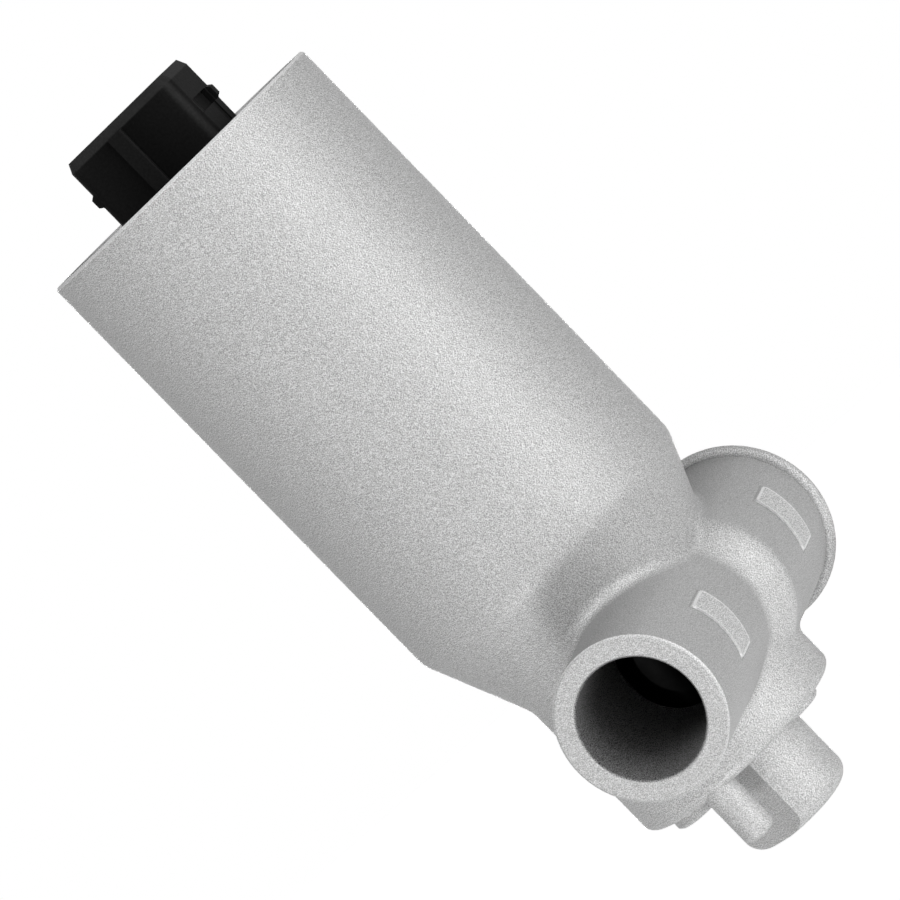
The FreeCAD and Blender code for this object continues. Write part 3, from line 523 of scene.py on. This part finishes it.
def black_plastic():
    """Moulded plastic, nearly black, with painted light on its sides and key rib and painted highlights on
    its crown and corners.
    """
    tree = Tree("black_plastic")
    tree.set(Roughness=PLASTIC_ROUGHNESS, Specular_IOR_Level=PLASTIC_SPECULAR)
    grain = tree.spread(tree.noise(PLASTIC_GRAIN_SCALE, FINE), *TONE_SPAN)
    tone = {name: tree.greys(grain, tones) for name, tones in PLASTIC_TONES.items()}
    width = tree.part_of("X")
    # Paler towards the sides: painted light
    sides = [tree.spread(width, start, end, 0.0, share) for start, end, share in PLUG_SIDES]
    skin = tree.cover(tone["skin"], tone["painted_light"], tree.merge("MAXIMUM", sides))
    # Paler crown: painted highlight
    skin = tree.cover(skin, tone["painted_highlight"], tree.zone(z=(PLUG_RIM_Z, FAR)))
    # Paler key rib: painted light
    skin = tree.cover(skin, tone["painted_light"], tree.scaled(tree.zone(*KEY_RIB), KEY_RIB_SHARE))
    # Paler corners: painted highlights
    for corner in PLUG_CORNERS:
        away = tree.from_upright(corner.x, corner.y)
        near = tree.spread(away, corner.radius * CORNER_CORE, corner.radius, corner.share, 0.0)
        skin = tree.cover(skin, tone["painted_highlight"], near)
    tree.feed("Base Color", skin)
    tree.bump(tree.noise(PLASTIC_RELIEF_SCALE, FINE), PLASTIC_RELIEF)
    return tree.material


def plain(name, look):
    """Material with a soft change of tone and of gloss, and an optional fine relief."""
    tree = Tree(name)
    tree.set(Metallic=look.metallic, Specular_IOR_Level=look.specular)
    tone = tree.spread(tree.noise(look.grain, FINE), *TONE_SPAN)
    dark = tuple(c * (1.0 - look.variation) for c in look.colour)
    pale = tuple(min(1.0, c * (1.0 + look.variation)) for c in look.colour)
    tree.feed("Base Color", tree.colours(tone, dark, pale))
    glossy = look.roughness * (1.0 - WEAR_CHANGE)
    dull = min(1.0, look.roughness * (1.0 + WEAR_CHANGE))
    tree.feed("Roughness", tree.spread(tree.noise(look.grain * WEAR_SCALE), *WEAR_SPAN, glossy, dull))
    if look.relief:
        tree.bump(tree.noise(look.grain * RELIEF_SCALE, FINE), look.relief)
    return tree.material


def banded(name, look):
    """Layers or turns along the motor axis, such as sheets of a stack or wire of a coil."""
    tree = Tree(name)
    tree.set(Metallic=look.metallic, Roughness=look.roughness)
    wave = tree.add("ShaderNodeTexWave", bands_direction="Z")
    wave.inputs["Scale"].default_value = BAND_LENGTH / look.pitch
    wave.inputs["Distortion"].default_value = BAND_DISTORTION
    tree.link(tree.place(), wave.inputs["Vector"])
    tree.feed("Base Color", tree.colours(wave.outputs["Fac"], look.first, look.second))
    tree.bump(wave.outputs["Fac"], BAND_RELIEF)
    return tree.material


def materials():
    made = {"cast_aluminium": cast_aluminium(), "black_plastic": black_plastic()}
    for name, look in PLAIN.items():
        made[name] = plain(name, look)
    for name, look in BANDED.items():
        made[name] = banded(name, look)
    return made


def dress_nodes():
    """Every node shows its CAD solid, in the material of its slot."""
    made = materials()
    for part in frame["record"]["subparts"]:
        node = NODES[part["node"]]
        node.data.materials.clear()
        node.data.materials.append(made[part["material_slot"]])
        for face in node.data.polygons:
            face.use_smooth = True


def area_light(lamp):
    """Soft box at a bearing from the camera, in degrees towards its right, that the camera doesn't see."""
    data = bpy.data.lights.new(lamp.name, "AREA")
    data.shape = "RECTANGLE"
    data.size = lamp.width
    data.size_y = lamp.tall
    data.energy = lamp.power
    box = bpy.data.objects.new(lamp.name, data)
    a = math.radians(lamp.bearing)
    place = turned(math.sin(a) * lamp.distance, -math.cos(a) * lamp.distance, lamp.height)
    aim = (Vector((0.0, 0.0, AIM_Z)) - place).to_track_quat("-Z", "Y")
    box.matrix_world = Matrix.Translation(place) @ aim.to_matrix().to_4x4()
    box.visible_camera = False
    bpy.context.collection.objects.link(box)


def make_world():
    """White where the camera, gloss and glass look at it, and a plain level of light for the rest."""
    world = bpy.data.worlds.new("studio")
    bpy.context.scene.world = world
    world.use_nodes = True
    nodes = world.node_tree.nodes
    links = world.node_tree.links
    nodes.clear()
    out = nodes.new("ShaderNodeOutputWorld")
    shown = nodes.new("ShaderNodeBackground")
    fill = nodes.new("ShaderNodeBackground")
    for node, strength in ((shown, 1.0), (fill, FILL)):
        node.inputs["Color"].default_value = opaque(grey(1.0))
        node.inputs["Strength"].default_value = strength
    path = nodes.new("ShaderNodeLightPath")
    seen = path.outputs["Is Camera Ray"]
    for ray in ("Is Glossy Ray", "Is Transmission Ray"):
        either = nodes.new("ShaderNodeMath")
        either.operation = "MAXIMUM"
        links.new(seen, either.inputs[0])
        links.new(path.outputs[ray], either.inputs[1])
        seen = either.outputs[0]
    mix = nodes.new("ShaderNodeMixShader")
    links.new(seen, mix.inputs[0])
    links.new(fill.outputs[0], mix.inputs[1])
    links.new(shown.outputs[0], mix.inputs[2])
    links.new(mix.outputs[0], out.inputs[0])


def floor_material():
    """Pale surface that glows white to the camera and to gloss, and is darker in the object's shade."""
    tree = Tree("floor")
    tree.set(Roughness=FLOOR_ROUGHNESS, Base_Color=opaque(grey(FLOOR_TONE)))
    glow = tree.add("ShaderNodeEmission")
    glow.inputs["Strength"].default_value = FLOOR_GLOW
    path = tree.add("ShaderNodeLightPath")
    seen = tree.combine("MAXIMUM", path.outputs["Is Camera Ray"], path.outputs["Is Glossy Ray"])
    both = tree.add("ShaderNodeAddShader")
    tree.link(glow.outputs[0], both.inputs[0])
    tree.link(tree.shader.outputs[0], both.inputs[1])
    mix = tree.add("ShaderNodeMixShader")
    tree.link(seen, mix.inputs[0])
    tree.link(tree.shader.outputs[0], mix.inputs[1])
    tree.link(both.outputs[0], mix.inputs[2])
    tree.link(mix.outputs[0], tree.nodes["Material Output"].inputs["Surface"])
    return tree.material


def make_floor():
    mesh = bpy.data.meshes.new("floor")
    r = FLOOR_HALF
    corners = [(-r, -r, FLOOR_Z), (r, -r, FLOOR_Z), (r, r, FLOOR_Z), (-r, r, FLOOR_Z)]
    mesh.from_pydata(corners, [], [(0, 1, 2, 3)])
    mesh.materials.append(floor_material())
    floor = bpy.data.objects.new("floor", mesh)
    bpy.context.collection.objects.link(floor)


def main():
    dress_nodes()
    make_camera()
    make_world()
    make_floor()
    for lamp in LAMPS:
        area_light(lamp)
    bpy.context.scene.view_settings.view_transform = "Standard"


main()
